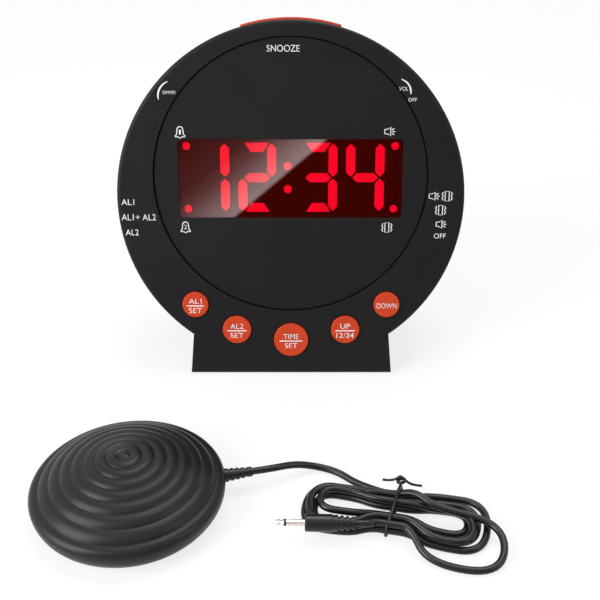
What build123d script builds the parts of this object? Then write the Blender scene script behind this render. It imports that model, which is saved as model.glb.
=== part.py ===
from build123d import *
from math import ceil, cos, degrees, pi, radians, sin, sqrt, tan
import os

os.makedirs("parts", exist_ok=True)

# A bedside alarm clock with a wired bed shaker. Millimetres, +Z up, -Y toward the user.
# The origin is the middle of the clock's rubber foot pad, on the table.

# Clearances
slide_gap = 0.3
loose_gap = 0.5
screw_gap = 0.1
seat_gap = 0.2

# Clock drum and foot
face_tilt = 15.0
face_setback = 9.0
drum_radius = 75.0
drum_depth = 58.0
parting_depth = 20.0
back_share = 0.775
back_round_share = 0.105
rim_step = 0.7
edge_round = 1.6
inner_round = 0.5
wall = 2.4
foot_clear = 5.5
foot_root_share = 0.4
foot_top_share = 0.8
foot_top_width = 87.6
foot_flare = 3.6
foot_inset = 0.9
foot_rear_step = 2.0
pad_width = 60.0
pad_length = 44.0
pad_thickness = 2.0
pad_proud = 1.2
pad_round = 6.0

# Face panel, lens and display
panel_border = 16.2
panel_top_rim = 6.6
panel_recess = 0.8
panel_thickness = 2.0
panel_edge = 0.6
ledge_width = 2.4
ledge_thickness = 1.6
ledge_skirt = 1.8
lens_side_margin = 10.9
lens_height = 33.6
lens_round = 1.5
lens_flange = 1.6
lens_flange_thickness = 1.0
reflector_margin = 1.2
reflector_depth = 8.6
digit_count = 4
digit_margin = 1.8
digit_side_margin = 6.2
digit_gap = 3.6
colon_gap = 9.8
segment_width = 4.0
segment_gap = 0.7
end_bar_gap = 1.0
end_bar_taper = 2.6
display_shift = -1.3
segment_depth = 2.0
colon_radius = 1.8
colon_spread = 10.0
corner_dot_radius = 1.7
corner_dot_inset = 3.2
board_thickness = 1.6
board_gap = 3.6
board_top_margin = 19.0
board_bottom_margin = 37.0

# Push buttons on an arc under the panel
button_inset = 12.1
button_steps = (-46.7, -24.9, 0.0, 24.9, 46.7)
button_radii = (5.8, 6.4, 7.7, 6.4, 5.8)
button_names = ("alarm1_button", "alarm2_button", "time_button", "up_button", "down_button")
button_proud = 0.9
button_edge = 0.4
button_flange = 1.0
button_flange_thickness = 1.0
button_travel = 0.8
switch_side = 6.0
switch_body = 3.5
switch_plunger_radius = 1.75
switch_plunger = 1.0
button_board_width = 15.0
button_board_reach = 50.0

# Bosses and screws
boss_radius = 3.0
pilot_radius = 1.3
board_boss_inset = 2.2
main_boss_angles = (17.4, 162.6, 201.2, 338.8)
button_boss_steps = (-35.8, 35.8)
housing_screw_angle = 30.0
foot_screw_inset = 7.8
foot_screw_rise = 14.0
screw_head_radius = 2.6
screw_head_height = 1.6
board_screw_length = 6.0
button_screw_length = 5.0
housing_screw_length = 14.0
screw_land = 2.2
screw_head_edge = 0.6
tower_wall = 1.4

# Snooze bar
snooze_clear = 3.3
snooze_front = 21.6
snooze_rear = 44.0
snooze_proud = 2.9
snooze_flange = 0.8
snooze_edge = 0.8
snooze_flange_thickness = 1.4
snooze_travel = 1.5
snooze_stem_radius = 2.0
snooze_switch_side = 8.0
snooze_switch_depth = 13.0
snooze_switch_drop = 21.0
snooze_stem_depth = 24.5
snooze_opening_drop = 25.0

# Thumb wheels on the rim
wheel_angles = (140.0, 40.0)
wheel_names = ("dimmer_wheel", "volume_wheel")
pot_names = ("dimmer_pot", "volume_pot")
wheel_radius = 9.5
wheel_thickness = 3.4
wheel_front = 26.0
wheel_proud = 2.4
wheel_teeth = 30
tooth_radius = 0.55
spindle_radius = 1.5
pot_side = 9.0

# Slide switches on the rim
slider_angles = (185.4, -5.2)
slider_names = ("alarm_slider", "mode_slider")
slider_body_names = ("alarm_switch", "mode_switch")
slider_travels = ((-6.6, 6.6), (-17.4, 0.0))
slider_rests = (0.0, 8.7)
slider_depth = 25.5
slider_stem_width = 3.0
slider_stem_depth = 2.0
slider_grip_length = 4.4
slider_grip_depth = 5.0
slider_grip_proud = 2.2
slider_body_width = 7.0
slider_body_drop = 13.0
slider_ribs = 3
slider_rib_pitch = 1.4
slider_rib_radius = 0.4

# Rear wall: speaker, jacks and battery
speaker_gap = 3.2
speaker_radius = 20.0
speaker_flange = 1.2
speaker_basket_depth = 8.0
speaker_neck_radius = 11.0
speaker_magnet_depth = 6.0
cone_thickness = 0.5
cone_edge = 2.0
grille_radius = 16.0
grille_rows = 7
grille_pitch = 4.4
grille_slot = 1.8
collar_height = 3.0
collar_wall = 1.4
jack_gap = 4.7
jack_rise = 2.0
jack_side = 9.0
jack_body_depth = 13.5
barrel_bore = 2.75
barrel_pin = 1.05
barrel_depth = 9.5
barrel_pin_depth = 9.0
barrel_hole = 4.0
phone_bore = 1.3
phone_depth = 11.5
phone_hole = 3.6
battery_length = 44.4
battery_width = 26.2
battery_height = 17.2
battery_round = 2.0
terminal_spread = 6.35
terminal_radii = (2.8, 3.6)
terminal_height = 3.0
snap_thickness = 3.0
snap_width = 22.0
snap_depth = 11.0
bay_wall = 1.6
door_lap = 1.6
door_margin = 2.5
door_thickness = 1.8
door_grip_ribs = 3
door_grip_pitch = 2.4
door_grip_width = 12.0
door_grip_drop = 6.0
door_groove = 1.2
door_groove_depth = 0.6

# Bed shaker
shaker_x = -60.5
shaker_y = -111.0
shaker_radius = 36.5
shaker_rim_height = 9.0
shaker_apex = 24.0
shaker_base_radius = 30.0
shaker_seam_drop = 2.2
shaker_wall = 2.2
shaker_lip = 1.0
ripple_count = 7
ripple_pitch = 4.4
ripple_height = 0.7
nub_height = 0.6
shaker_boss_spread = 22.0
shaker_boss_radius = 2.8
shaker_boss_angles = (90.0, 210.0, 330.0)
shaker_pilot = 7.0
shaker_head_radius = 2.2
shaker_head_height = 1.4
shaker_head_depth = 2.0
motor_radius = 7.0
motor_length = 22.0
motor_shift = -8.0
motor_shaft_radius = 1.0
motor_nose_radius = 3.0
motor_nose = 1.6
motor_gap = 0.5
motor_socket = 8.0
shaft_gap = 0.05
cradle_wall = 1.6
cradle_length = 16.0
weight_radius = 6.4
weight_thickness = 6.0
weight_gap = 1.4
weight_hub_radius = 2.4
clamp_width = 8.0
clamp_thickness = 1.2

# Cord, its gland, hank and tie
cord_diameter = 2.8
cord_sides = 8
arc_share = 0.45
gap_sample_step = 1.0
lead_first_run = 8.0
lead_last_run = 3.0
lead_middle = (
    (2.0, -94.5, 5.0),
    (10.5, -92.3, 1.9),
    (19.0, -95.2, 1.5),
    (25.5, -101.5, 1.5),
)
gland_angle = 12.4
gland_height = 7.0
gland_length = 10.5
gland_root_radius = 2.6
gland_tip_radius = 1.9
gland_ribs = 5
gland_groove = 0.45
gland_flange_radius = 3.6
gland_flange = 1.2
gland_pocket = 6.0
rib_share = 0.62
hank_x = 38.5
hank_y = -119.0
hank_turn = -12.0
hank_reach = 22.0
hank_long_loop = 8.0
hank_inner = 1.4
hank_step = 3.6
hank_pinch = 4.6
hank_layer_rise = 3.3
hank_half_turns = 9
hank_reversal = 5
tie_lift = 1.2
tie_diameter = 0.9
tie_gap = 0.3
tie_tail = 9.0
tie_knot_radius = 1.0
tie_round = 3.0
plug_angle = -1.0
plug_start_u = -12.5
plug_start_v = -12.2
plug_height = 7.2
plug_radius = 3.2
plug_body_length = 10.0
plug_relief_length = 8.0
plug_relief_radius = 2.3
plug_ribs = 4
pin_radius = 1.25
pin_length = 11.0
pin_tip_length = 3.4
pin_ring = 0.9
pin_waist = 0.8
pin_point = 0.5
tip_neck_share = 0.3
tip_swell_share = 0.6
plug_root_radius = 2.9

# Sizes that follow the drum: rear taper, foot, panel, display and boards
back_radius = drum_radius * back_share
back_round = drum_radius * back_round_share
foot_drop = drum_radius + foot_clear
foot_root_drop = drum_radius * foot_root_share
foot_top_drop = drum_radius * foot_top_share
foot_bottom_width = foot_top_width + foot_flare
foot_depth = drum_depth - foot_rear_step
foot_screw_x = foot_top_width / 2 - foot_screw_inset
foot_screw_y = foot_screw_rise - foot_drop
panel_radius = drum_radius - panel_border
panel_rise = panel_border - panel_top_rim
lens_width = 2 * (panel_radius - lens_side_margin)
digit_height = lens_height - 2 * digit_margin
digit_row = lens_width - 2 * digit_side_margin
digit_width = (digit_row - 2 * digit_gap - colon_gap) / digit_count
digit_pitch = digit_width + digit_gap
colon_pitch = digit_width + colon_gap
corner_dot_x = lens_width / 2 - corner_dot_inset
corner_dot_y = lens_height / 2 - corner_dot_inset
board_radius = drum_radius - wall - board_gap
board_top = drum_radius - board_top_margin
board_bottom = drum_radius - board_bottom_margin
boss_ring = board_radius - board_boss_inset
main_boss_spots = [(boss_ring * cos(radians(a)), boss_ring * sin(radians(a))) for a in main_boss_angles]
button_arc = drum_radius - button_inset
button_turns = [step / button_arc for step in button_steps]
button_boss_turns = [step / button_arc for step in button_boss_steps]
button_board_span = degrees(button_board_reach / button_arc)
snooze_switch_top = drum_radius - snooze_switch_drop
snooze_floor = drum_radius - snooze_opening_drop
slider_body_reach = drum_radius - slider_body_drop

# Face plane: x to the right, y up the face, z out toward the user
face_height = foot_drop * cos(radians(face_tilt))
FACE = Plane(
    origin=(0, -face_setback, face_height),
    x_dir=(1, 0, 0),
    z_dir=(0, -cos(radians(face_tilt)), sin(radians(face_tilt))),
)
FACE_AXIS = Axis(FACE.origin, FACE.z_dir)
PROFILE = Plane(origin=FACE.origin, x_dir=FACE.x_dir, z_dir=-FACE.y_dir)
GROUND = Plane.XY.offset(pad_proud)
PARTING = FACE.offset(-parting_depth)
BACK_INSIDE = FACE.offset(wall - drum_depth)

front_wall = panel_recess + panel_thickness
panel_back = -front_wall
ledge_hole = panel_radius - ledge_width
lens_back = panel_back - lens_flange_thickness
reflector_front = lens_back - seat_gap
board_front = reflector_front - reflector_depth
board_back = board_front - board_thickness
rear_rim = drum_radius - rim_step
rear_slope = (rear_rim - back_radius) / (drum_depth - parting_depth)
foot_deep = foot_drop + foot_depth * tan(radians(face_tilt))
foot_rear_scale = back_radius / drum_radius
TOP = Plane(origin=FACE.origin, x_dir=FACE.x_dir, z_dir=FACE.y_dir)
screw_radius = pilot_radius - screw_gap
tower_radius = screw_head_radius + slide_gap + tower_wall
top_screw_x = (panel_radius + seat_gap) * sin(radians(housing_screw_angle))
top_screw_y = panel_rise + (panel_radius + seat_gap) * cos(radians(housing_screw_angle))
snooze_half_width = top_screw_x - tower_radius - snooze_clear
button_back = panel_back - slide_gap - button_flange_thickness
button_board_front = button_back - button_travel - screw_gap - switch_plunger - switch_body
bay_length = battery_length + terminal_height + snap_thickness + 2 * loose_gap
bay_width = battery_width + 2 * loose_gap
bay_depth = door_thickness + slide_gap + battery_height + seat_gap
door_length = bay_length + 2 * door_lap
door_width = bay_width + 2 * door_lap
door_reach = back_radius - back_round - door_margin
battery_y = door_width / 2 - sqrt(door_reach**2 - (door_length / 2) ** 2)
bay_top = battery_y + bay_width / 2 + bay_wall
speaker_rise = bay_top + speaker_gap + collar_wall + seat_gap + speaker_radius
jack_x = bay_length / 2 + bay_wall + jack_gap + jack_side / 2
jack_y = bay_top + jack_rise + jack_side / 2
snooze_sink = wall + loose_gap
snooze_bottom = snooze_sink + snooze_flange_thickness
snooze_stem_foot = snooze_switch_top + switch_plunger + snooze_travel + screw_gap


def rim_radius(depth):
    """Outer radius of the tapered rear shell at a depth behind the face."""
    return rear_rim - rear_slope * (depth - parting_depth)


def rim_plane(angle, depth):
    """Plane across the drum at a depth, its x axis pointing out at an angle."""
    out = FACE.x_dir * cos(radians(angle)) + FACE.y_dir * sin(radians(angle))
    return Plane(origin=FACE.origin - FACE.z_dir * depth, x_dir=out, z_dir=FACE.z_dir)


wheel_centre = rim_radius(wheel_front + wheel_thickness / 2) + wheel_proud - wheel_radius
slider_floor = rim_radius(slider_depth + slider_grip_depth / 2 + slide_gap)
slider_top = slider_floor + slide_gap + slider_grip_proud


def slider_slot_length(travel):
    """Length of the slot that a slider's stem runs in."""
    return travel[1] - travel[0] + slider_stem_width + 2 * slide_gap


def revolve_drum(inset, front):
    """Solid of the drum, inset from the outer skin, starting at a depth behind the face."""
    with BuildPart() as drum:
        with BuildSketch(PROFILE):
            with BuildLine():
                Polyline(
                    (0, -front),
                    (drum_radius - inset, -front),
                    (drum_radius - inset, -parting_depth),
                    (rear_rim - inset, -parting_depth),
                    (back_radius - inset + inset * rear_slope, inset - drum_depth),
                    (0, inset - drum_depth),
                    close=True,
                )
            make_face()
            front_corner = vertices().group_by(Axis.X)[-1].sort_by(Axis.Y)[-1]
            back_corner = vertices().group_by(Axis.Y)[0].sort_by(Axis.X)[-1]
            fillet(front_corner, max(edge_round - inset, inner_round))
            fillet(back_corner, back_round - inset)
        revolve(axis=FACE_AXIS)
    return drum.part


def foot_section(inset, scale):
    """Corners of the foot's flared outline, from inside the drum to below the table, narrowed by a scale."""
    half_top = foot_top_width / 2 * scale - inset
    half_bottom = foot_bottom_width / 2 * scale - inset
    flare = (half_bottom - half_top) / (foot_drop - foot_top_drop)
    half_root = half_top - flare * (foot_top_drop - foot_root_drop)
    half_deep = half_bottom + flare * (foot_deep - foot_drop)
    return (
        (-half_root, -foot_root_drop),
        (half_root, -foot_root_drop),
        (half_deep, -foot_deep),
        (-half_deep, -foot_deep),
    )


def foot_block(inset, front, floor):
    """Solid of the foot, straight under the front shell and narrowing behind it, cut flat at a height."""
    with BuildPart() as foot:
        with BuildSketch(PARTING):
            with BuildLine():
                Polyline(*foot_section(inset, 1), close=True)
            make_face()
        extrude(amount=parting_depth - front)
        with BuildSketch(PARTING):
            with BuildLine():
                Polyline(*foot_section(inset, 1), close=True)
            make_face()
        with BuildSketch(FACE.offset(inset - foot_depth)):
            with BuildLine():
                Polyline(*foot_section(inset, foot_rear_scale), close=True)
            make_face()
        loft(ruled=True)
        split(bisect_by=Plane.XY.offset(floor), keep=Keep.TOP)
    return foot.part


def pan_screw(plane, spots, shank_radius, length):
    """Pan head screws standing on a plane, their shanks along its normal."""
    with BuildPart() as screws:
        with BuildSketch(plane.offset(-screw_head_height)):
            with Locations(*spots):
                Circle(screw_head_radius)
        extrude(amount=screw_head_height)
        chamfer(screws.faces().sort_by(Axis(plane.origin, plane.z_dir))[: len(spots)].edges(), screw_head_edge)
        with BuildSketch(plane):
            with Locations(*spots):
                Circle(shank_radius)
        extrude(amount=length)
    return screws.part


def save(part, name):
    """Label a finished piece and write its file."""
    part.label = name
    export_step(part, f"parts/{name}.step")


# Clock shells, as one skin and one hollow that the two housings are cut from
with BuildPart() as skin:
    add(revolve_drum(0, 0))
    add(foot_block(0, foot_inset, pad_proud))
    split(bisect_by=GROUND, keep=Keep.TOP)
    with BuildSketch(GROUND):
        RectangleRounded(pad_width + 2 * seat_gap, pad_length + 2 * seat_gap, pad_round)
    extrude(amount=pad_thickness - pad_proud, mode=Mode.SUBTRACT)

with BuildPart() as hollow:
    add(revolve_drum(wall, front_wall))
    add(foot_block(wall, foot_inset + wall, pad_proud + wall))
    split(bisect_by=GROUND.offset(wall), keep=Keep.TOP)

button_spots = [(button_arc * sin(turn), -button_arc * cos(turn)) for turn in button_turns]
button_boss_spots = [(button_arc * sin(turn), -button_arc * cos(turn)) for turn in button_boss_turns]
housing_screw_spots = (
    (-top_screw_x, top_screw_y),
    (top_screw_x, top_screw_y),
    (-foot_screw_x, foot_screw_y),
    (foot_screw_x, foot_screw_y),
)

with BuildPart() as front_housing:
    add(skin.part)
    split(bisect_by=PARTING, keep=Keep.TOP)
    add(hollow.part, mode=Mode.SUBTRACT)
    # Seat for the round face panel, with a ledge behind it
    with BuildSketch(FACE.offset(panel_back - ledge_thickness)):
        with Locations((0, panel_rise)):
            Circle(panel_radius + seat_gap + ledge_skirt)
    extrude(amount=ledge_thickness)
    with BuildSketch(FACE.offset(panel_back)):
        with Locations((0, panel_rise)):
            Circle(panel_radius + seat_gap)
    extrude(amount=front_wall, mode=Mode.SUBTRACT)
    # Bosses for the boards and for the screws that close the case
    with BuildSketch(FACE.offset(board_front)):
        with Locations(*main_boss_spots):
            Circle(boss_radius)
    extrude(amount=panel_back - board_front)
    with BuildSketch(FACE.offset(button_board_front)):
        with Locations(*button_boss_spots):
            Circle(boss_radius)
    extrude(amount=panel_back - button_board_front)
    with BuildSketch(PARTING):
        with Locations(*housing_screw_spots):
            Circle(tower_radius)
    extrude(amount=parting_depth + panel_back - ledge_thickness)
    with BuildSketch(FACE.offset(panel_back - ledge_thickness)):
        with Locations(*housing_screw_spots[2:]):
            Circle(tower_radius)
    extrude(amount=ledge_thickness)
    with BuildSketch(FACE.offset(panel_back - ledge_thickness)):
        with Locations((0, panel_rise)):
            Circle(ledge_hole)
    extrude(amount=ledge_thickness, mode=Mode.SUBTRACT)
    for plane, spots, depth in (
        (FACE.offset(board_front), main_boss_spots, board_screw_length),
        (FACE.offset(button_board_front), button_boss_spots, button_screw_length),
        (PARTING, housing_screw_spots, housing_screw_length - screw_land),
    ):
        with BuildSketch(plane):
            with Locations(*spots):
                Circle(pilot_radius)
        extrude(amount=depth + screw_gap, mode=Mode.SUBTRACT)
    # Holes for the push buttons
    for spot, radius in zip(button_spots, button_radii):
        with BuildSketch(FACE):
            with Locations(spot):
                Circle(radius + slide_gap)
        extrude(amount=-front_wall, mode=Mode.SUBTRACT)
save(front_housing.part, "front_housing")

with BuildPart() as face_panel:
    with BuildSketch(FACE.offset(panel_back)):
        with Locations((0, panel_rise)):
            Circle(panel_radius)
    extrude(amount=panel_thickness)
    fillet(face_panel.faces().sort_by(FACE_AXIS)[-1].edges(), panel_edge)
    with BuildSketch(FACE.offset(panel_back)):
        with Locations((0, panel_rise)):
            RectangleRounded(lens_width + 2 * screw_gap, lens_height + 2 * screw_gap, lens_round)
    extrude(amount=panel_thickness, mode=Mode.SUBTRACT)
save(face_panel.part, "face_panel")

with BuildPart() as display_lens:
    with BuildSketch(FACE.offset(panel_back)):
        with Locations((0, panel_rise)):
            RectangleRounded(lens_width, lens_height, lens_round)
    extrude(amount=panel_thickness)
    with BuildSketch(FACE.offset(lens_back)):
        with Locations((0, panel_rise)):
            RectangleRounded(lens_width + 2 * lens_flange, lens_height + 2 * lens_flange, lens_round)
    extrude(amount=lens_flange_thickness)
save(display_lens.part, "display_lens")

# Seven segment digits: the letters name the bars, clockwise from the top, with g across the middle
bar_x = (digit_width - segment_width) / 2
bar_y = (digit_height - segment_width) / 2
side_y = digit_height / 4
side_length = digit_height / 2 - segment_gap
middle_length = digit_width - segment_width - 2 * segment_gap
end_length = digit_width - segment_width - 2 * end_bar_gap
bars = {
    "a": (0, bar_y, end_length, 0),
    "b": (bar_x, side_y, side_length, 90),
    "c": (bar_x, -side_y, side_length, 90),
    "d": (0, -bar_y, end_length, 180),
    "e": (-bar_x, -side_y, side_length, 90),
    "f": (-bar_x, side_y, side_length, 90),
    "g": (0, 0, middle_length, 0),
}
end_bars = "ad"
lit_bars = ("bc", "abged", "abgcd", "fgbc")
inner_digit = colon_pitch / 2
outer_digit = inner_digit + digit_pitch
digit_places = [display_shift + x for x in (-outer_digit, -inner_digit, inner_digit, outer_digit)]
dot_spots = ((display_shift, colon_spread / 2), (display_shift, -colon_spread / 2))
corner_spots = [(x * corner_dot_x, y * corner_dot_y) for x in (-1, 1) for y in (-1, 1)]


def display_sketch(letters, inset, dots):
    """Sketch of the chosen bars of each digit, and the colon and corner dots."""
    with BuildSketch() as bar_set:
        for place, names in zip(digit_places, letters):
            for name in names:
                x, y, length, turn = bars[name]
                half = segment_width / 2 - inset
                reach = length / 2 - inset
                pointed = (
                    (-reach, 0),
                    (half - reach, -half),
                    (reach - half, -half),
                    (reach, 0),
                    (reach - half, half),
                    (half - reach, half),
                )
                tapered = (
                    (-reach, half),
                    (end_bar_taper - reach, -half),
                    (reach - end_bar_taper, -half),
                    (reach, half),
                )
                with Locations(Location((place + x, y + panel_rise, 0), (0, 0, turn))):
                    Polygon(*(tapered if name in end_bars else pointed), align=None)
        if dots:
            with Locations(*[(x, y + panel_rise) for x, y in dot_spots]):
                Circle(colon_radius - inset)
            with Locations(*[(x, y + panel_rise) for x, y in corner_spots]):
                Circle(corner_dot_radius - inset)
    return bar_set.sketch


unlit_bars = ["".join(sorted(set(bars) - set(names))) for names in lit_bars]
segment_pockets = display_sketch(["abcdefg"] * len(digit_places), 0, True)
lit_shapes = display_sketch(lit_bars, screw_gap, True)
unlit_shapes = display_sketch(unlit_bars, screw_gap, False)

with BuildPart() as display_reflector:
    with BuildSketch(FACE.offset(board_front)):
        with Locations((0, panel_rise)):
            Rectangle(lens_width - 2 * reflector_margin, lens_height - 2 * reflector_margin)
    extrude(amount=reflector_depth)
    with BuildSketch(FACE.offset(reflector_front - segment_depth)):
        add(segment_pockets)
    extrude(amount=segment_depth, mode=Mode.SUBTRACT)
save(display_reflector.part, "display_reflector")

with BuildPart() as lit_segments:
    with BuildSketch(FACE.offset(reflector_front - segment_depth)):
        add(lit_shapes)
    extrude(amount=segment_depth)
save(lit_segments.part, "lit_segments")

with BuildPart() as unlit_segments:
    with BuildSketch(FACE.offset(reflector_front - segment_depth)):
        add(unlit_shapes)
    extrude(amount=segment_depth)
save(unlit_segments.part, "unlit_segments")

with BuildPart() as main_board:
    with BuildSketch(FACE.offset(board_back)):
        Circle(board_radius)
        with Locations((0, (board_top - board_bottom) / 2)):
            Rectangle(2 * board_radius, board_top + board_bottom, mode=Mode.INTERSECT)
        with Locations(*housing_screw_spots[:2]):
            Circle(tower_radius + loose_gap, mode=Mode.SUBTRACT)
        with Locations(*main_boss_spots):
            Circle(pilot_radius, mode=Mode.SUBTRACT)
    extrude(amount=board_thickness)
save(main_board.part, "main_board")

# Push buttons, the board behind them and their switches
button_row = CenterArc((0, 0), button_arc, -90 - button_board_span, 2 * button_board_span)
with BuildPart() as button_board:
    with BuildSketch(FACE.offset(button_board_front - board_thickness)):
        SlotArc(button_row, button_board_width)
        with Locations(*button_boss_spots):
            Circle(pilot_radius, mode=Mode.SUBTRACT)
    extrude(amount=board_thickness)
save(button_board.part, "button_board")

with BuildPart() as tact_switches:
    with BuildSketch(FACE.offset(button_board_front)):
        with Locations(*button_spots):
            Rectangle(switch_side, switch_side)
    extrude(amount=switch_body)
    with BuildSketch(FACE.offset(button_board_front + switch_body)):
        with Locations(*button_spots):
            Circle(switch_plunger_radius)
    extrude(amount=switch_plunger)
save(tact_switches.part, "tact_switches")


def push_button(spot, radius):
    """A round cap with a crowned edge and a retaining flange behind the front wall."""
    with BuildPart() as button:
        with BuildSketch(FACE.offset(button_back)):
            with Locations(spot):
                Circle(radius)
        extrude(amount=button_proud - button_back)
        fillet(button.faces().sort_by(FACE_AXIS)[-1].edges(), button_edge)
        with BuildSketch(FACE.offset(button_back)):
            with Locations(spot):
                Circle(radius + button_flange)
        extrude(amount=button_flange_thickness)
    return button.part


for name, spot, radius in zip(button_names, button_spots, button_radii):
    save(push_button(spot, radius), name)

# Rear housing: towers for the case screws, battery bay, speaker collar and openings
with BuildPart() as screw_towers:
    with BuildSketch(FACE.offset(-drum_depth)):
        with Locations(*housing_screw_spots):
            Circle(tower_radius)
    extrude(amount=drum_depth - parting_depth)
    add(skin.part, mode=Mode.INTERSECT)

# Pads inside the rim behind the two slide switches
with BuildPart() as slider_pads:
    for angle, travel in zip(slider_angles, slider_travels):
        with BuildSketch(rim_plane(angle, slider_depth)):
            with Locations((slider_floor - wall / 2, 0)):
                Rectangle(wall, slider_slot_length(travel) + 2 * wall)
        extrude(amount=slider_grip_depth / 2 + wall, both=True)
    add(skin.part, mode=Mode.INTERSECT)

# Pockets and slots that the sliders run in
with BuildPart() as slider_slots:
    for angle, travel in zip(slider_angles, slider_travels):
        with BuildSketch(rim_plane(angle, slider_depth)):
            with Locations((slider_floor + drum_radius / 2, 0)):
                Rectangle(drum_radius, slider_slot_length(travel) + slider_grip_length - slider_stem_width)
        extrude(amount=slider_grip_depth / 2 + slide_gap, both=True)
        with BuildSketch(rim_plane(angle, slider_depth)):
            with Locations((slider_floor, 0)):
                Rectangle(4 * wall, slider_slot_length(travel))
        extrude(amount=slider_stem_depth / 2 + slide_gap, both=True)

with BuildPart() as rear_housing:
    add(skin.part)
    split(bisect_by=PARTING, keep=Keep.BOTTOM)
    add(hollow.part, mode=Mode.SUBTRACT)
    add(screw_towers.part)
    add(slider_pads.part)
    with BuildSketch(FACE.offset(-drum_depth)):
        with Locations((0, battery_y)):
            Rectangle(bay_length + 2 * bay_wall, bay_width + 2 * bay_wall)
    extrude(amount=bay_depth + bay_wall)
    with BuildSketch(BACK_INSIDE):
        with Locations((0, speaker_rise)):
            Circle(speaker_radius + seat_gap + collar_wall)
            Circle(speaker_radius + seat_gap, mode=Mode.SUBTRACT)
    extrude(amount=collar_height)
    with BuildSketch(FACE.offset(-drum_depth)):
        with Locations(*housing_screw_spots):
            Circle(screw_head_radius + slide_gap)
    extrude(amount=drum_depth - parting_depth - screw_land, mode=Mode.SUBTRACT)
    with BuildSketch(FACE.offset(-drum_depth)):
        with Locations(*housing_screw_spots):
            Circle(pilot_radius)
    extrude(amount=drum_depth - parting_depth, mode=Mode.SUBTRACT)
    # Battery bay, with a rebate for its door
    with BuildSketch(FACE.offset(-drum_depth)):
        with Locations((0, battery_y)):
            Rectangle(bay_length, bay_width)
    extrude(amount=bay_depth, mode=Mode.SUBTRACT)
    with BuildSketch(FACE.offset(-drum_depth)):
        with Locations((0, battery_y)):
            RectangleRounded(door_length + 2 * slide_gap, door_width + 2 * slide_gap, door_lap)
    extrude(amount=door_thickness, mode=Mode.SUBTRACT)
    # Sound slots, longer toward the middle row
    for row in range(grille_rows):
        offset_y = (row - (grille_rows - 1) / 2) * grille_pitch
        length = 2 * sqrt(grille_radius**2 - offset_y**2)
        with BuildSketch(FACE.offset(-drum_depth)):
            with Locations((0, speaker_rise + offset_y)):
                SlotOverall(length, grille_slot)
        extrude(amount=wall, mode=Mode.SUBTRACT)
    for x, radius in ((-jack_x, barrel_hole), (jack_x, phone_hole)):
        with BuildSketch(FACE.offset(-drum_depth)):
            with Locations((x, jack_y)):
                Circle(radius)
        extrude(amount=wall, mode=Mode.SUBTRACT)
    # Opening for the snooze bar in the top of the rim
    with BuildSketch(TOP.offset(snooze_floor)):
        with Locations((0, (snooze_front + snooze_rear) / 2)):
            Rectangle(2 * (snooze_half_width + slide_gap), snooze_rear - snooze_front + 2 * slide_gap)
    extrude(amount=drum_radius - snooze_floor, mode=Mode.SUBTRACT)
    # Slots that the thumb wheels and the sliders show through
    add(slider_slots.part, mode=Mode.SUBTRACT)
    for angle in wheel_angles:
        with BuildSketch(rim_plane(angle, wheel_front + wheel_thickness + loose_gap)):
            with Locations((wheel_centre, 0)):
                Circle(wheel_radius + loose_gap)
        extrude(amount=wheel_thickness + 2 * loose_gap, mode=Mode.SUBTRACT)
save(rear_housing.part, "rear_housing")

with BuildPart() as foot_pad:
    with BuildSketch():
        RectangleRounded(pad_width, pad_length, pad_round)
    extrude(amount=pad_thickness)
save(foot_pad.part, "foot_pad")

save(pan_screw(PARTING.offset(-screw_land), housing_screw_spots, screw_radius, housing_screw_length), "housing_screws")

with BuildPart() as board_screws:
    add(pan_screw(FACE.offset(board_back), main_boss_spots, screw_radius, board_screw_length))
    add(
        pan_screw(
            FACE.offset(button_board_front - board_thickness), button_boss_spots, screw_radius, button_screw_length
        )
    )
save(board_screws.part, "board_screws")

with BuildPart() as snooze_bar:
    with BuildSketch(PROFILE):
        with BuildLine():
            Polyline(
                (rim_radius(snooze_front) + snooze_proud, -snooze_front),
                (rim_radius(snooze_rear) + snooze_proud, -snooze_rear),
                (rim_radius(snooze_rear) - snooze_sink, -snooze_rear),
                (rim_radius(snooze_front) - snooze_sink, -snooze_front),
                close=True,
            )
        make_face()
    revolve(axis=FACE_AXIS)
    with BuildSketch(TOP.offset(snooze_floor)):
        with Locations((0, (snooze_front + snooze_rear) / 2)):
            Rectangle(2 * snooze_half_width, snooze_rear - snooze_front)
    extrude(amount=drum_radius, mode=Mode.INTERSECT)
    fillet(snooze_bar.faces().sort_by(Axis(FACE.origin, FACE.y_dir))[-1].edges(), snooze_edge)
with BuildPart() as snooze_flange_band:
    with BuildSketch(PROFILE):
        with BuildLine():
            Polyline(
                (rim_radius(snooze_front - snooze_flange) - snooze_sink, snooze_flange - snooze_front),
                (rim_radius(snooze_rear + snooze_flange) - snooze_sink, -snooze_rear - snooze_flange),
                (rim_radius(snooze_rear + snooze_flange) - snooze_bottom, -snooze_rear - snooze_flange),
                (rim_radius(snooze_front - snooze_flange) - snooze_bottom, snooze_flange - snooze_front),
                close=True,
            )
        make_face()
    revolve(axis=FACE_AXIS)
    with BuildSketch(TOP.offset(snooze_floor)):
        with Locations((0, (snooze_front + snooze_rear) / 2)):
            Rectangle(
                2 * (snooze_half_width + snooze_flange), snooze_rear - snooze_front + 2 * snooze_flange
            )
    extrude(amount=drum_radius, mode=Mode.INTERSECT)
    with BuildSketch(TOP.offset(snooze_stem_foot)):
        with Locations((0, snooze_stem_depth)):
            Circle(snooze_stem_radius)
    extrude(amount=rim_radius(snooze_stem_depth) - snooze_sink - snooze_stem_foot)
with BuildPart() as snooze_key:
    add(snooze_bar.part)
    add(snooze_flange_band.part)
save(snooze_key.part, "snooze_bar")

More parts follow.
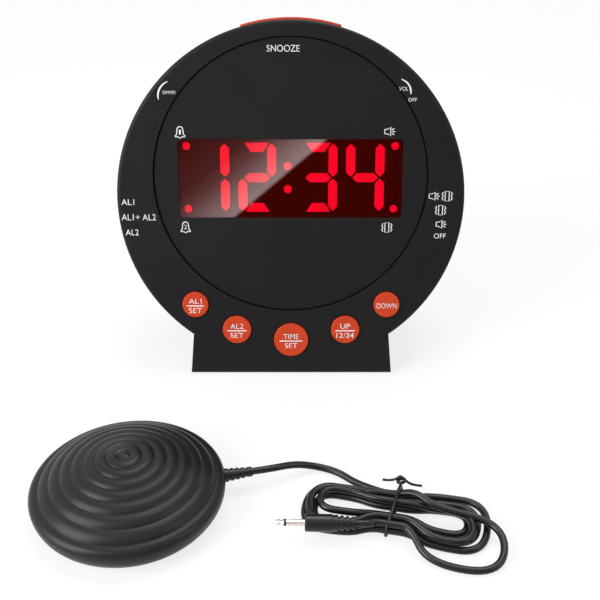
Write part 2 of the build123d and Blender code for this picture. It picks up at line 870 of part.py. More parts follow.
with BuildPart() as snooze_switch:
    with BuildSketch(FACE.offset(board_back - snooze_switch_depth)):
        with Locations((0, snooze_switch_top - snooze_switch_side / 2)):
            Rectangle(snooze_switch_side, snooze_switch_side)
    extrude(amount=snooze_switch_depth)
    with BuildSketch(TOP.offset(snooze_switch_top)):
        with Locations((0, snooze_stem_depth)):
            Circle(switch_plunger_radius)
    extrude(amount=switch_plunger)
save(snooze_switch.part, "snooze_switch")

# Thumb wheels with milled edges, turning in their potentiometers
for angle, wheel_name, pot_name in zip(wheel_angles, wheel_names, pot_names):
    with BuildPart() as thumb_wheel:
        with BuildSketch(rim_plane(angle, wheel_front + wheel_thickness)):
            with Locations((wheel_centre, 0)):
                Circle(wheel_radius)
                with PolarLocations(wheel_radius, wheel_teeth):
                    Circle(tooth_radius, mode=Mode.SUBTRACT)
        extrude(amount=wheel_thickness)
        with BuildSketch(rim_plane(angle, wheel_front)):
            with Locations((wheel_centre, 0)):
                Circle(spindle_radius)
        extrude(amount=wheel_front + board_back - board_thickness)
    save(thumb_wheel.part, wheel_name)

    with BuildPart() as pot:
        with BuildSketch(rim_plane(angle, wheel_front - slide_gap)):
            with Locations((wheel_centre, 0)):
                Rectangle(pot_side, pot_side)
                Circle(spindle_radius + screw_gap, mode=Mode.SUBTRACT)
        extrude(amount=wheel_front - slide_gap + board_back)
    save(pot.part, pot_name)

# Slide switches, with ribbed grips that run in pockets of the rim
for index, angle in enumerate(slider_angles):
    travel = slider_travels[index]
    rest = slider_rests[index]
    with BuildPart() as slider:
        with BuildSketch(rim_plane(angle, slider_depth)):
            with Locations(((slider_body_reach + slide_gap + slider_top) / 2, rest)):
                Rectangle(slider_top - slider_body_reach - slide_gap, slider_stem_width)
        extrude(amount=slider_stem_depth / 2, both=True)
        with BuildSketch(rim_plane(angle, slider_depth)):
            with Locations(((slider_floor + slide_gap + slider_top) / 2, rest)):
                Rectangle(slider_top - slider_floor - slide_gap, slider_grip_length)
            with Locations((slider_top, rest)):
                with GridLocations(0, slider_rib_pitch, 1, slider_ribs):
                    Circle(slider_rib_radius, mode=Mode.SUBTRACT)
        extrude(amount=slider_grip_depth / 2, both=True)
    save(slider.part, slider_names[index])

    with BuildPart() as slide_switch:
        with BuildSketch(rim_plane(angle, slider_depth + slider_body_width / 2)):
            with Locations((slider_body_reach - slider_body_width / 2, 0)):
                Rectangle(slider_body_width, slider_slot_length(travel) + 2 * wall)
        extrude(amount=slider_depth + slider_body_width / 2 + board_back)
    save(slide_switch.part, slider_body_names[index])

# Speaker behind the slotted rear wall
SPEAKER = Plane(origin=BACK_INSIDE.from_local_coords((0, speaker_rise, 0)), x_dir=FACE.x_dir, z_dir=-FACE.y_dir)
SPEAKER_AXIS = Axis(SPEAKER.origin, FACE.z_dir)
basket_top = speaker_flange + speaker_basket_depth

with BuildPart() as speaker_frame:
    with BuildSketch(SPEAKER):
        with BuildLine():
            Polyline(
                (speaker_radius, 0),
                (speaker_radius, speaker_flange),
                (speaker_radius - cone_edge, speaker_flange),
                (speaker_neck_radius, basket_top),
                (0, basket_top),
                (0, basket_top - speaker_flange),
                (speaker_neck_radius - speaker_flange, basket_top - speaker_flange),
                (speaker_radius - 2 * cone_edge, 0),
                close=True,
            )
        make_face()
    revolve(axis=SPEAKER_AXIS)
save(speaker_frame.part, "speaker_frame")

with BuildPart() as speaker_cone:
    with BuildSketch(SPEAKER):
        with BuildLine():
            cone_rim = speaker_radius - 2 * cone_edge - seat_gap
            cone_neck = speaker_neck_radius - speaker_flange - cone_edge
            cone_top = basket_top - speaker_flange - cone_edge
            Polyline(
                (cone_rim, 0),
                (cone_neck, cone_top),
                (0, cone_top),
                (0, cone_top - cone_thickness),
                (cone_neck - cone_thickness, cone_top - cone_thickness),
                (cone_rim - 2 * cone_thickness, 0),
                close=True,
            )
        make_face()
    revolve(axis=SPEAKER_AXIS)
save(speaker_cone.part, "speaker_cone")

with BuildPart() as speaker_magnet:
    with BuildSketch(BACK_INSIDE.offset(basket_top)):
        with Locations((0, speaker_rise)):
            Circle(speaker_neck_radius)
    extrude(amount=speaker_magnet_depth)
    chamfer(speaker_magnet.faces().sort_by(FACE_AXIS)[-1].edges(), panel_edge)
save(speaker_magnet.part, "speaker_magnet")

# Sockets behind the rear wall: a barrel inlet with its centre pin, and the shaker's jack
with BuildPart() as power_jack:
    with BuildSketch(BACK_INSIDE):
        with Locations((-jack_x, jack_y)):
            Rectangle(jack_side, jack_side)
    extrude(amount=jack_body_depth)
    with BuildSketch(BACK_INSIDE):
        with Locations((-jack_x, jack_y)):
            Circle(barrel_bore)
    extrude(amount=barrel_depth, mode=Mode.SUBTRACT)
    with BuildSketch(BACK_INSIDE.offset(barrel_depth - barrel_pin_depth)):
        with Locations((-jack_x, jack_y)):
            Circle(barrel_pin)
    extrude(amount=barrel_pin_depth)
save(power_jack.part, "power_jack")

with BuildPart() as shaker_jack:
    with BuildSketch(BACK_INSIDE):
        with Locations((jack_x, jack_y)):
            Rectangle(jack_side, jack_side)
    extrude(amount=jack_body_depth)
    with BuildSketch(BACK_INSIDE):
        with Locations((jack_x, jack_y)):
            Circle(phone_bore)
    extrude(amount=phone_depth, mode=Mode.SUBTRACT)
save(shaker_jack.part, "shaker_jack")

# Back-up battery, its snap and the door over them
bay_left = -bay_length / 2
battery_middle = bay_length / 2 - loose_gap - battery_length / 2
battery_rear = -drum_depth + door_thickness + slide_gap
terminal_end = battery_middle - battery_length / 2
battery_centre = battery_rear + battery_height / 2
terminal_spots = ((battery_centre, -terminal_spread), (battery_centre, terminal_spread))
SNAP = Plane(
    origin=FACE.from_local_coords((terminal_end, battery_y, 0)), x_dir=FACE.z_dir, z_dir=-FACE.x_dir
)

with BuildPart() as backup_battery:
    with BuildSketch(FACE.offset(battery_rear)):
        with Locations((battery_middle, battery_y)):
            Rectangle(battery_length, battery_width)
    extrude(amount=battery_height)
    fillet(backup_battery.edges().filter_by(Axis(FACE.origin, FACE.x_dir)), battery_round)
    for spot, radius in zip(terminal_spots, terminal_radii):
        with BuildSketch(SNAP):
            with Locations(spot):
                Circle(radius)
        extrude(amount=terminal_height)
save(backup_battery.part, "backup_battery")

with BuildPart() as battery_snap:
    with BuildSketch(SNAP.offset(terminal_height + seat_gap)):
        with Locations((battery_centre, 0)):
            RectangleRounded(snap_depth, snap_width, battery_round)
    extrude(amount=snap_thickness)
save(battery_snap.part, "battery_snap")

with BuildPart() as battery_door:
    with BuildSketch(FACE.offset(-drum_depth)):
        with Locations((0, battery_y)):
            RectangleRounded(door_length, door_width, door_lap)
    extrude(amount=door_thickness - seat_gap)
    # Finger grip: short grooves near the upper edge
    with BuildSketch(FACE.offset(-drum_depth)):
        with Locations((0, battery_y + door_width / 2 - door_grip_drop)):
            with GridLocations(0, door_grip_pitch, 1, door_grip_ribs):
                SlotOverall(door_grip_width, door_groove)
    extrude(amount=door_groove_depth, mode=Mode.SUBTRACT)
save(battery_door.part, "battery_door")

# Bed shaker: one skin and one hollow, parted at a seam under the rim
SHAKER = Plane(origin=(shaker_x, shaker_y, 0), x_dir=(1, 0, 0), z_dir=(0, -1, 0))
SHAKER_AXIS = Axis((shaker_x, shaker_y, 0), (0, 0, 1))
dome_rise = shaker_apex - shaker_rim_height
dome_radius = (shaker_radius**2 + dome_rise**2) / (2 * dome_rise)
seam_height = shaker_rim_height - shaker_seam_drop


def dome(radius):
    """Height of the plain dome over a radius."""
    return shaker_apex - dome_radius + sqrt(dome_radius**2 - radius**2)


with BuildPart() as shaker_skin:
    with BuildSketch(SHAKER):
        with BuildLine():
            nub = Line((0, 0), (0, shaker_apex + nub_height))
            first = (ripple_pitch / 2, dome(ripple_pitch / 2))
            TangentArc(nub @ 1, first, tangent=(1, 0))
            for ripple in range(ripple_count):
                start = (ripple + 0.5) * ripple_pitch
                crest = start + ripple_pitch / 2
                stop = start + ripple_pitch
                ThreePointArc(
                    (start, dome(start)), (crest, dome(crest) + ripple_height), (stop, dome(stop))
                )
            last = ((ripple_count + 0.5) * ripple_pitch, dome((ripple_count + 0.5) * ripple_pitch))
            TangentArc((shaker_radius, shaker_rim_height), last, tangent=(0, 1))
            flank = TangentArc((shaker_radius, shaker_rim_height), (shaker_base_radius, 0), tangent=(0, -1))
            Line(flank @ 1, (0, 0))
        make_face()
    revolve(axis=SHAKER_AXIS)

with BuildPart() as shaker_hollow:
    with BuildSketch(SHAKER):
        with BuildLine():
            inner_radius = shaker_radius - shaker_wall - shaker_lip
            floor_radius = shaker_base_radius - shaker_wall
            Polyline(
                (0, shaker_apex - shaker_wall),
                (0, shaker_wall),
                (floor_radius, shaker_wall),
                (inner_radius, shaker_rim_height),
            )
            TangentArc((0, shaker_apex - shaker_wall), (inner_radius, shaker_rim_height), tangent=(1, 0))
        make_face()
    revolve(axis=SHAKER_AXIS)

shaker_spots = [
    (shaker_x + shaker_boss_spread * cos(radians(a)), shaker_y + shaker_boss_spread * sin(radians(a)))
    for a in shaker_boss_angles
]
gland_out = (cos(radians(gland_angle)), sin(radians(gland_angle)), 0)
GLAND = Plane(
    origin=(shaker_x, shaker_y, gland_height), x_dir=(-gland_out[1], gland_out[0], 0), z_dir=gland_out
)
gland_seat = shaker_radius - shaker_wall - shaker_lip

# The upper posts are left standing in the hollow
with BuildPart() as shaker_upper_hollow:
    add(shaker_hollow.part)
    with BuildSketch(Plane.XY.offset(seam_height)):
        with Locations(*shaker_spots):
            Circle(shaker_boss_radius)
    extrude(amount=shaker_apex, mode=Mode.SUBTRACT)

with BuildPart() as shaker_top_shell:
    add(shaker_skin.part)
    split(bisect_by=Plane.XY.offset(seam_height), keep=Keep.TOP)
    add(shaker_upper_hollow.part, mode=Mode.SUBTRACT)
    with BuildSketch(Plane.XY.offset(seam_height)):
        with Locations(*shaker_spots):
            Circle(pilot_radius)
    extrude(amount=shaker_pilot, mode=Mode.SUBTRACT)
    with BuildSketch(GLAND.offset(gland_seat - gland_pocket)):
        Circle(gland_root_radius + seat_gap)
    extrude(amount=shaker_radius, mode=Mode.SUBTRACT)
    with BuildSketch(GLAND.offset(gland_seat - gland_pocket)):
        Circle(gland_flange_radius + seat_gap)
    extrude(amount=gland_pocket, mode=Mode.SUBTRACT)
save(shaker_top_shell.part, "shaker_top_shell")

motor_height = shaker_wall + motor_gap + motor_radius
MOTOR = Plane(origin=(shaker_x + motor_shift, shaker_y, motor_height), x_dir=(0, 1, 0), z_dir=(1, 0, 0))
motor_half = motor_length / 2
cradle_width = 2 * motor_radius + 2 * seat_gap + 2 * cradle_wall

with BuildPart() as shaker_base_shell:
    add(shaker_skin.part)
    split(bisect_by=Plane.XY.offset(seam_height), keep=Keep.BOTTOM)
    add(shaker_hollow.part, mode=Mode.SUBTRACT)
    with BuildSketch(Plane.XY.offset(shaker_wall)):
        with Locations(*shaker_spots):
            Circle(shaker_boss_radius)
        with Locations((shaker_x + motor_shift, shaker_y)):
            Rectangle(cradle_length, cradle_width)
    extrude(amount=seam_height - shaker_wall)
    with BuildSketch(MOTOR.offset(-motor_half - loose_gap)):
        Circle(motor_radius + seat_gap)
    extrude(amount=motor_length + 2 * loose_gap, mode=Mode.SUBTRACT)
    with BuildSketch(Plane.XY):
        with Locations(*shaker_spots):
            Circle(pilot_radius)
    extrude(amount=seam_height, mode=Mode.SUBTRACT)
    with BuildSketch(Plane.XY):
        with Locations(*shaker_spots):
            Circle(shaker_head_radius + seat_gap)
    extrude(amount=shaker_head_depth, mode=Mode.SUBTRACT)
    with BuildSketch(GLAND.offset(gland_seat - gland_pocket)):
        Circle(gland_root_radius + seat_gap)
    extrude(amount=shaker_radius, mode=Mode.SUBTRACT)
    with BuildSketch(GLAND.offset(gland_seat - gland_pocket)):
        Circle(gland_flange_radius + seat_gap)
    extrude(amount=gland_pocket, mode=Mode.SUBTRACT)
save(shaker_base_shell.part, "shaker_base_shell")

with BuildPart() as shaker_screws:
    with BuildSketch(Plane.XY.offset(shaker_head_depth - shaker_head_height)):
        with Locations(*shaker_spots):
            Circle(shaker_head_radius)
    extrude(amount=shaker_head_height)
    with BuildSketch(Plane.XY.offset(shaker_head_depth)):
        with Locations(*shaker_spots):
            Circle(screw_radius)
    extrude(amount=seam_height - shaker_head_depth + shaker_pilot - screw_gap)
save(shaker_screws.part, "shaker_screws")

# Motor with an off-centre weight on its shaft, held by a strap
with BuildPart() as shaker_motor:
    with BuildSketch(MOTOR.offset(-motor_half)):
        Circle(motor_radius)
    extrude(amount=motor_length)
    chamfer(shaker_motor.edges(), panel_edge)
    with BuildSketch(MOTOR.offset(motor_half)):
        Circle(motor_nose_radius)
    extrude(amount=motor_nose)
    with BuildSketch(MOTOR.offset(motor_half + motor_nose)):
        Circle(motor_shaft_radius + shaft_gap)
    extrude(amount=-motor_socket, mode=Mode.SUBTRACT)
save(shaker_motor.part, "shaker_motor")

with BuildPart() as motor_clamp:
    with BuildSketch(MOTOR.offset(-clamp_width / 2)):
        Circle(motor_radius + seat_gap + clamp_thickness)
        with Locations((0, seam_height + clamp_thickness / 2 - motor_height)):
            Rectangle(cradle_width, clamp_thickness)
        with Locations((0, -motor_radius - clamp_thickness)):
            Rectangle(
                cradle_width,
                2 * (seam_height - motor_height + motor_radius + clamp_thickness),
                mode=Mode.SUBTRACT,
            )
        Circle(motor_radius + seat_gap, mode=Mode.SUBTRACT)
    extrude(amount=clamp_width)
save(motor_clamp.part, "motor_clamp")

weight_start = motor_half + motor_nose + weight_gap
with BuildPart() as motor_shaft:
    with BuildSketch(MOTOR.offset(motor_half + motor_nose - motor_socket + loose_gap)):
        Circle(motor_shaft_radius)
    extrude(amount=motor_socket - loose_gap + weight_gap + weight_thickness)
save(motor_shaft.part, "motor_shaft")

with BuildPart() as eccentric_weight:
    with BuildSketch(MOTOR.offset(weight_start)):
        Circle(weight_radius)
        with Locations((0, weight_radius / 2 + motor_shaft_radius)):
            Rectangle(2 * weight_radius, weight_radius, mode=Mode.SUBTRACT)
        Circle(weight_hub_radius)
        Circle(motor_shaft_radius + shaft_gap, mode=Mode.SUBTRACT)
    extrude(amount=weight_thickness)
save(eccentric_weight.part, "eccentric_weight")


def ribbed_sleeve(plane, start, length, root_radius, tip_radius, ribs, groove):
    """A tapering sleeve along a plane's normal, with a groove after each rib."""
    pitch = length / ribs
    corners = [(0, start)]
    for rib in range(ribs):
        low = start + rib * pitch
        radius = root_radius + (tip_radius - root_radius) * rib / (ribs - 1)
        corners += [(radius, low), (radius, low + pitch * rib_share)]
        if rib < ribs - 1:
            corners += [(radius - groove, low + pitch * rib_share), (radius - groove, low + pitch)]
        else:
            corners += [(radius, low + pitch)]
    corners += [(0, start + length)]
    tidy = [c for i, c in enumerate(corners) if i == 0 or c != corners[i - 1]]
    side = Plane(origin=plane.origin, x_dir=plane.x_dir, z_dir=-plane.y_dir)
    with BuildPart() as sleeve:
        with BuildSketch(side):
            with BuildLine():
                Polyline(*tidy, close=True)
            make_face()
        revolve(axis=Axis(plane.origin, plane.z_dir))
    return sleeve.part


with BuildPart() as cable_gland:
    with BuildSketch(GLAND.offset(gland_seat - gland_flange - seat_gap)):
        Circle(gland_flange_radius)
    extrude(amount=gland_flange)
    with BuildSketch(GLAND.offset(gland_seat - gland_flange)):
        Circle(gland_root_radius)
    extrude(amount=shaker_radius - gland_seat + gland_flange)
    add(ribbed_sleeve(GLAND, shaker_radius, gland_length, gland_root_radius, gland_tip_radius, gland_ribs, gland_groove))
save(cable_gland.part, "cable_gland")

# Cord: the hank's frame has u along the bundle, v across it toward the clock
cord_radius = cord_diameter / 2
HANK = Plane(
    origin=(hank_x, hank_y, 0), x_dir=(cos(radians(hank_turn)), sin(radians(hank_turn)), 0), z_dir=(0, 0, 1)
)
U = HANK.x_dir
waist_height = cord_radius + tie_lift


def strand_side(half_turn):
    """+1 for a strand on the far side of the bundle, running right, and -1 for one on the near side."""
    return 1 if half_turn % 2 == 0 else -1


def strand_offset(half_turn):
    """Distance of a strand from the bundle's middle at the waist."""
    return hank_inner + abs(hank_reversal - half_turn) * hank_step / 2


def strand_layer(half_turn):
    """Height that a strand's layer adds, at the waist."""
    return hank_layer_rise if half_turn > hank_reversal else 0


def waist_point(half_turn):
    side = strand_side(half_turn)
    return HANK.from_local_coords(
        (0, side * strand_offset(half_turn), waist_height + strand_layer(half_turn))
    )


def end_point(half_turn, turn):
    """Where a strand meets the end turn that follows strand number turn."""
    across = strand_side(half_turn) * (strand_offset(half_turn) + hank_pinch)
    rise = hank_layer_rise if turn >= hank_reversal else 0
    return HANK.from_local_coords((strand_side(turn) * hank_reach, across, cord_radius + rise))


def s_curve(start, stop, heading):
    """Two equal arcs from start to stop, both ends along the heading."""
    middle = (start + stop) / 2
    first = TangentArc(start, middle, tangent=heading)
    TangentArc(middle, stop, tangent=first % 1)


plug_out = Vector(-1, 0, 0).rotate(Axis.Z, plug_angle)
plug_rear = HANK.from_local_coords((plug_start_u, plug_start_v, plug_height))
PLUG = Plane(origin=plug_rear, x_dir=(0, 0, 1), z_dir=plug_out)
hank_start = waist_point(0) - U * cord_diameter

with BuildLine() as hank_line:
    Line(hank_start, waist_point(0))
    for strand in range(hank_half_turns):
        heading = U * strand_side(strand)
        turn_start = end_point(strand, strand)
        turn_stop = end_point(strand + 1, strand)
        s_curve(waist_point(strand), turn_start, heading)
        if strand == hank_half_turns - 1:
            longer = heading * hank_long_loop
            Line(turn_start, turn_start + longer)
            TangentArc(turn_start + longer, turn_stop + longer, tangent=heading)
            Line(turn_stop + longer, turn_stop)
        else:
            TangentArc(turn_start, turn_stop, tangent=heading)
        s_curve(turn_stop, waist_point(strand + 1), -heading)
    tail_join = plug_rear - plug_out * cord_diameter
    tail_start = waist_point(hank_half_turns)
    gap = tail_join - tail_start
    lean = gap.dot(-U) + gap.dot(plug_out)
    bend = 2 * (1 - (-U).dot(plug_out))
    arm = (sqrt(lean**2 + bend * gap.dot(gap)) - lean) / bend
    tail_middle = (tail_start - U * arm + tail_join - plug_out * arm) / 2
    tail_first = TangentArc(tail_start, tail_middle, tangent=-U)
    TangentArc(tail_middle, tail_join, tangent=tail_first % 1)
    Line(tail_join, plug_rear)

with BuildPart() as cord_hank:
    with BuildSketch(Plane(origin=hank_start, z_dir=U)):
        RegularPolygon(cord_radius, cord_sides)
    sweep(path=hank_line.wires()[0])
save(cord_hank.part, "cord_hank")

lead_start = GLAND.from_local_coords((0, 0, shaker_radius + gland_length))
lead_out = Vector(*gland_out)
lead_points = [
    lead_start,
    lead_start + lead_out * lead_first_run,
    *[Vector(*point) for point in lead_middle],
    hank_start - U * lead_last_run,
    hank_start,
]


def corner_radii(points):
    """The largest arc that each corner's shorter run allows."""
    radii = []
    for before, here, after in zip(points, points[1:], points[2:]):
        turn = radians((here - before).get_angle(after - here))
        shorter = min((here - before).length, (after - here).length)
        radii.append(arc_share * shorter / tan(turn / 2))
    return radii


lead_radii = corner_radii(lead_points)
with BuildPart() as cord_lead:
    with BuildLine() as lead_line:
        FilletPolyline(*lead_points, radius=lead_radii)
    with BuildSketch(Plane(origin=lead_start, z_dir=lead_out)):
        RegularPolygon(cord_radius, cord_sides)
    sweep(path=lead_line.wires()[0])
save(cord_lead.part, "cord_lead")

# Twist tie round the waist, with two loose ends at the far side
tie_near = -strand_offset(hank_half_turns) - cord_radius - tie_gap - tie_diameter / 2
tie_far = strand_offset(0) + cord_radius + tie_gap + tie_diameter / 2
tie_low = waist_height - cord_radius - tie_gap - tie_diameter / 2
tie_high = waist_height + hank_layer_rise + cord_radius + tie_gap + tie_diameter / 2
TIE = Plane(origin=HANK.origin, x_dir=HANK.y_dir, z_dir=HANK.x_dir)
with BuildPart() as twist_tie:
    with BuildSketch(TIE.offset(-tie_diameter / 2)):
        with Locations(((tie_near + tie_far) / 2, (tie_low + tie_high) / 2)):
            RectangleRounded(tie_far - tie_near + tie_diameter, tie_high - tie_low + tie_diameter, tie_round)
            RectangleRounded(
                tie_far - tie_near - tie_diameter,
                tie_high - tie_low - tie_diameter,
                tie_round - tie_diameter,
                mode=Mode.SUBTRACT,
            )
    extrude(amount=tie_diameter)
    with BuildSketch(TIE.offset(-tie_tail)):
        with Locations((tie_far - tie_round, tie_high)):
            Circle(tie_diameter / 2)
    extrude(amount=2 * tie_tail)
    with BuildSketch(TIE.offset(-tie_knot_radius)):
        with Locations((tie_far - tie_round, tie_high)):
            Circle(tie_knot_radius)
    extrude(amount=2 * tie_knot_radius)
save(twist_tie.part, "twist_tie")

# Plug: ribbed relief, moulded grip, then a two pole pin with its insulating ring
plug_pin_start = plug_relief_length + plug_body_length
with BuildPart() as plug_body:
    add(ribbed_sleeve(PLUG, 0, plug_relief_length, plug_relief_radius, plug_root_radius, plug_ribs, gland_groove))
    with BuildSketch(PLUG.offset(plug_relief_length)):
        Circle(plug_radius)
    extrude(amount=plug_body_length)
    fillet(plug_body.faces().sort_by(Axis(PLUG.origin, PLUG.z_dir))[-1].edges(), panel_edge)
save(plug_body.part, "plug_body")

with BuildPart() as plug_sleeve:
    with BuildSketch(PLUG.offset(plug_pin_start)):
        Circle(pin_radius)
    extrude(amount=pin_length - pin_tip_length - pin_ring)
save(plug_sleeve.part, "plug_sleeve")

with BuildPart() as plug_insulator:
    with BuildSketch(PLUG.offset(plug_pin_start + pin_length - pin_tip_length - pin_ring)):
        Circle(pin_radius)
    extrude(amount=pin_ring)
save(plug_insulator.part, "plug_insulator")

with BuildPart() as plug_tip:
    with BuildSketch(Plane(origin=PLUG.origin, x_dir=PLUG.x_dir, z_dir=-PLUG.y_dir)):
        with BuildLine():
            tip_base = plug_pin_start + pin_length - pin_tip_length
            Polyline(
                (0, tip_base),
                (pin_radius, tip_base),
                (pin_waist, tip_base + pin_tip_length * tip_neck_share),
                (pin_radius, tip_base + pin_tip_length * tip_swell_share),
                (pin_point, tip_base + pin_tip_length),
                (0, tip_base + pin_tip_length),
                close=True,
            )
        make_face()
    revolve(axis=Axis(PLUG.origin, PLUG.z_dir))
save(plug_tip.part, "plug_tip")

# The cord's own measures: length, tightest arcs and the least gap between the hank's strands
cord_length = hank_line.wires()[0].length + lead_line.wires()[0].length
print("cord length", round(cord_length, 1), "lead radii", [round(r, 1) for r in lead_radii])
wire = hank_line.wires()[0]
samples = ceil(wire.length / gap_sample_step)
points = [wire.position_at(i / samples) for i in range(samples + 1)]
apart = ceil(4 * cord_diameter / gap_sample_step)
least = min(
    (points[i] - points[j]).length for i in range(len(points)) for j in range(i + apart, len(points))
)
print("least gap between strands", round(least - cord_diameter, 2))
volume = cord_hank.part.volume
section = cord_sides / 2 * cord_radius**2 * sin(2 * pi / cord_sides)
print("hank volume", round(volume, 1), "section times length", round(section * wire.length, 1))
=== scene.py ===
from math import cos, pi, radians, sin

import bmesh
import bpy
from mathutils import Matrix, Vector


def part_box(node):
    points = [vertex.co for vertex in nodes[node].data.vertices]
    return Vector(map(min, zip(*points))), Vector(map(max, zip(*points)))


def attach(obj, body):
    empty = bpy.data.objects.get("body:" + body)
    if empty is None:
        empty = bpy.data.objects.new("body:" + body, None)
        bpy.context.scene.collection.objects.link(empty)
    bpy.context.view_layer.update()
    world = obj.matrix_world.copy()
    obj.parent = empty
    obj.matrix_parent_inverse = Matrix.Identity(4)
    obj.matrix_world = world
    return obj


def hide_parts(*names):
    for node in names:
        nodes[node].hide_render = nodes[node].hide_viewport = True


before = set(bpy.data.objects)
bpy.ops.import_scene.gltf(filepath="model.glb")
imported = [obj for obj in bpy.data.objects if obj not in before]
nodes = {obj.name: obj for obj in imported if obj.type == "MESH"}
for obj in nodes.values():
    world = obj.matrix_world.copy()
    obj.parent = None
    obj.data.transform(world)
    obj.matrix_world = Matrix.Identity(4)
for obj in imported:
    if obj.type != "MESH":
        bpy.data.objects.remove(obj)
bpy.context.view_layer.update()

MM = 0.001

# Face plane of the clock: x to the right, y up the face, z out toward the user
FACE_TILT = radians(15.0)
FACE_SETBACK = 9.0
FOOT_DROP = 80.5
FACE_ORIGIN = Vector((0, -FACE_SETBACK, FOOT_DROP * cos(FACE_TILT))) * MM
FACE_X = Vector((1, 0, 0))
FACE_Y = Vector((0, sin(FACE_TILT), cos(FACE_TILT)))
FACE_Z = Vector((0, -cos(FACE_TILT), sin(FACE_TILT)))
PANEL_RECESS = 0.8
BUTTON_PROUD = 0.9

# Moulded plastic: edge rounding and strength and detail of its grain, spread of its gloss
EDGE_ROUND = 0.3
EDGE_SAMPLES = 4
GRAIN_STRENGTH = 0.6
GRAIN_DETAIL = 3.0
GLOSS_SPREAD = 0.08

# Noises that make a surface uneven: scale per metre and detail, and the span of each that is used
GLOSS_NOISE = (45.0, 4.0)
STREAK_NOISE = (900.0, 2.0)
HAZE_NOISE = (60.0, 5.0)
CLOUD_NOISE = (220.0, 2.0)
MIDDLE_SPAN = (0.3, 0.7)
FULL_SPAN = (0.0, 1.0)

# Metal: smoothest and roughest streaks as shares of its roughness
STREAK_SMOOTH = 0.7
STREAK_ROUGH = 1.4

# Display: red filter and lit bars
LENS_COLOUR = (0.05, 0.0012, 0.0004)
LENS_ALPHA = 0.55
LENS_COAT = 0.6
LENS_COAT_ROUGHNESS = 0.01
LENS_ROUGHNESS = (0.005, 0.025)
BAR_ROUGHNESS = 0.5
BAR_UNEVEN = 0.15

# Ink thickness, line widths and lettering of the printed marks
INK = 0.06
SIGN_LINE = 0.42
RULE_WIDTH = 0.5
LETTER_HEIGHT = 2.35
LETTER_RISE = 2.15

# Curved pointers: least width, swell, and where along them the swell lies
SWEEP_THIN = 0.2
SWEEP_SWELL = 0.55
SWEEP_LEAN = 0.6
SWEEP_END = 0.9 * pi

# Camera
CAMERA_PLACE = Vector((4.0, -364.2, 248.05)) * MM
CAMERA_PITCH = radians(31.8)
CAMERA_LENS = 54.55
CAMERA_CLIP = 0.01

# Light panel that the lens mirrors: its plane, slanted edge on the face and brightness
CARD_DEPTH = -0.75
CARD_EDGE_LOW = (-24.2, -7.7)
CARD_EDGE_HIGH = (16.0, 26.1)
CARD_SIZE = 1.1
CARD_GLOW = 5.8
CARD_SIDE = 0.35
# Fall of its light away from the edge: distance in metres, level, and share of green and blue to red
CARD_FALL = ((0.12, 0.035, 0.4), (0.065, 0.11, 0.5), (0.045, 0.3, 0.55), (0.001, 1.0, 0.8))

# Floor: share of plain white near the object, and the distances over which it becomes all white
FLOOR_SIZE = 6.0
FLOOR_COLOUR = (0.9, 0.9, 0.9)
FLOOR_ROUGHNESS = 0.9
FLOOR_SHINE = 0.1
FLOOR_SHARE = 0.78
FLOOR_NEAR = 0.4
FLOOR_FAR = 1.0

# Light: strength of the sky on the object, and the lamps' places, aims, sizes in metres and watts
SKY_LIGHT = 0.45
LAMPS = (
    ("key_left", (-0.66, -0.46, 0.42), (0, -0.02, 0.07), (0.5, 0.7), 8.0),
    ("top", (0.1, 0.25, 0.95), (0, -0.06, 0.03), (0.6, 0.6), 5.0),
    ("fill_right", (0.8, -0.5, 0.5), (0, -0.02, 0.06), (0.6, 0.6), 1.5),
)

# Bed shaker
SHAKER_X = -60.5
SHAKER_Y = -111.0
SHAKER_RADIUS = 36.5

# Cord route, as in the solids
CORD_DIAMETER = 2.8
GLAND_ANGLE = radians(12.4)
GLAND_HEIGHT = 7.0
GLAND_LENGTH = 10.5
GLAND_OUT = Vector((cos(GLAND_ANGLE), sin(GLAND_ANGLE), 0))
CORD_EXIT = Vector((SHAKER_X, SHAKER_Y, GLAND_HEIGHT)) + GLAND_OUT * (SHAKER_RADIUS + GLAND_LENGTH)
LEAD_FIRST_RUN = 8.0
LEAD_LAST_RUN = 3.0
LEAD_MIDDLE = (
    (2.0, -94.5, 5.0),
    (10.5, -92.3, 1.9),
    (19.0, -95.2, 1.5),
    (25.5, -101.5, 1.5),
)
HANK_CENTRE = Vector((38.5, -119.0, 0))
HANK_TURN = radians(-12.0)
HANK_ALONG = Vector((cos(HANK_TURN), sin(HANK_TURN), 0))
HANK_ACROSS = Vector((-sin(HANK_TURN), cos(HANK_TURN), 0))
HANK_REACH = 22.0
HANK_LONG_LOOP = 8.0
HANK_INNER = 1.4
HANK_STEP = 3.6
HANK_PINCH = 3.2
HANK_LAYER_RISE = 3.3
HANK_HALF_TURNS = 9
HANK_REVERSAL = 5
# Upper turns lie askew on the lower ones: end turn, shift across the hank and extra height over its start
HANK_ASKEW = {6: (-3.0, 0.0), 7: (-2.5, 0.0), 8: (-8.5, 2.9)}
PLUG_START = (-12.5, -12.2, 7.2)
PLUG_ANGLE = radians(-1.0)
WIRE_ROUNDNESS = 4
WIRE_STEPS = 10

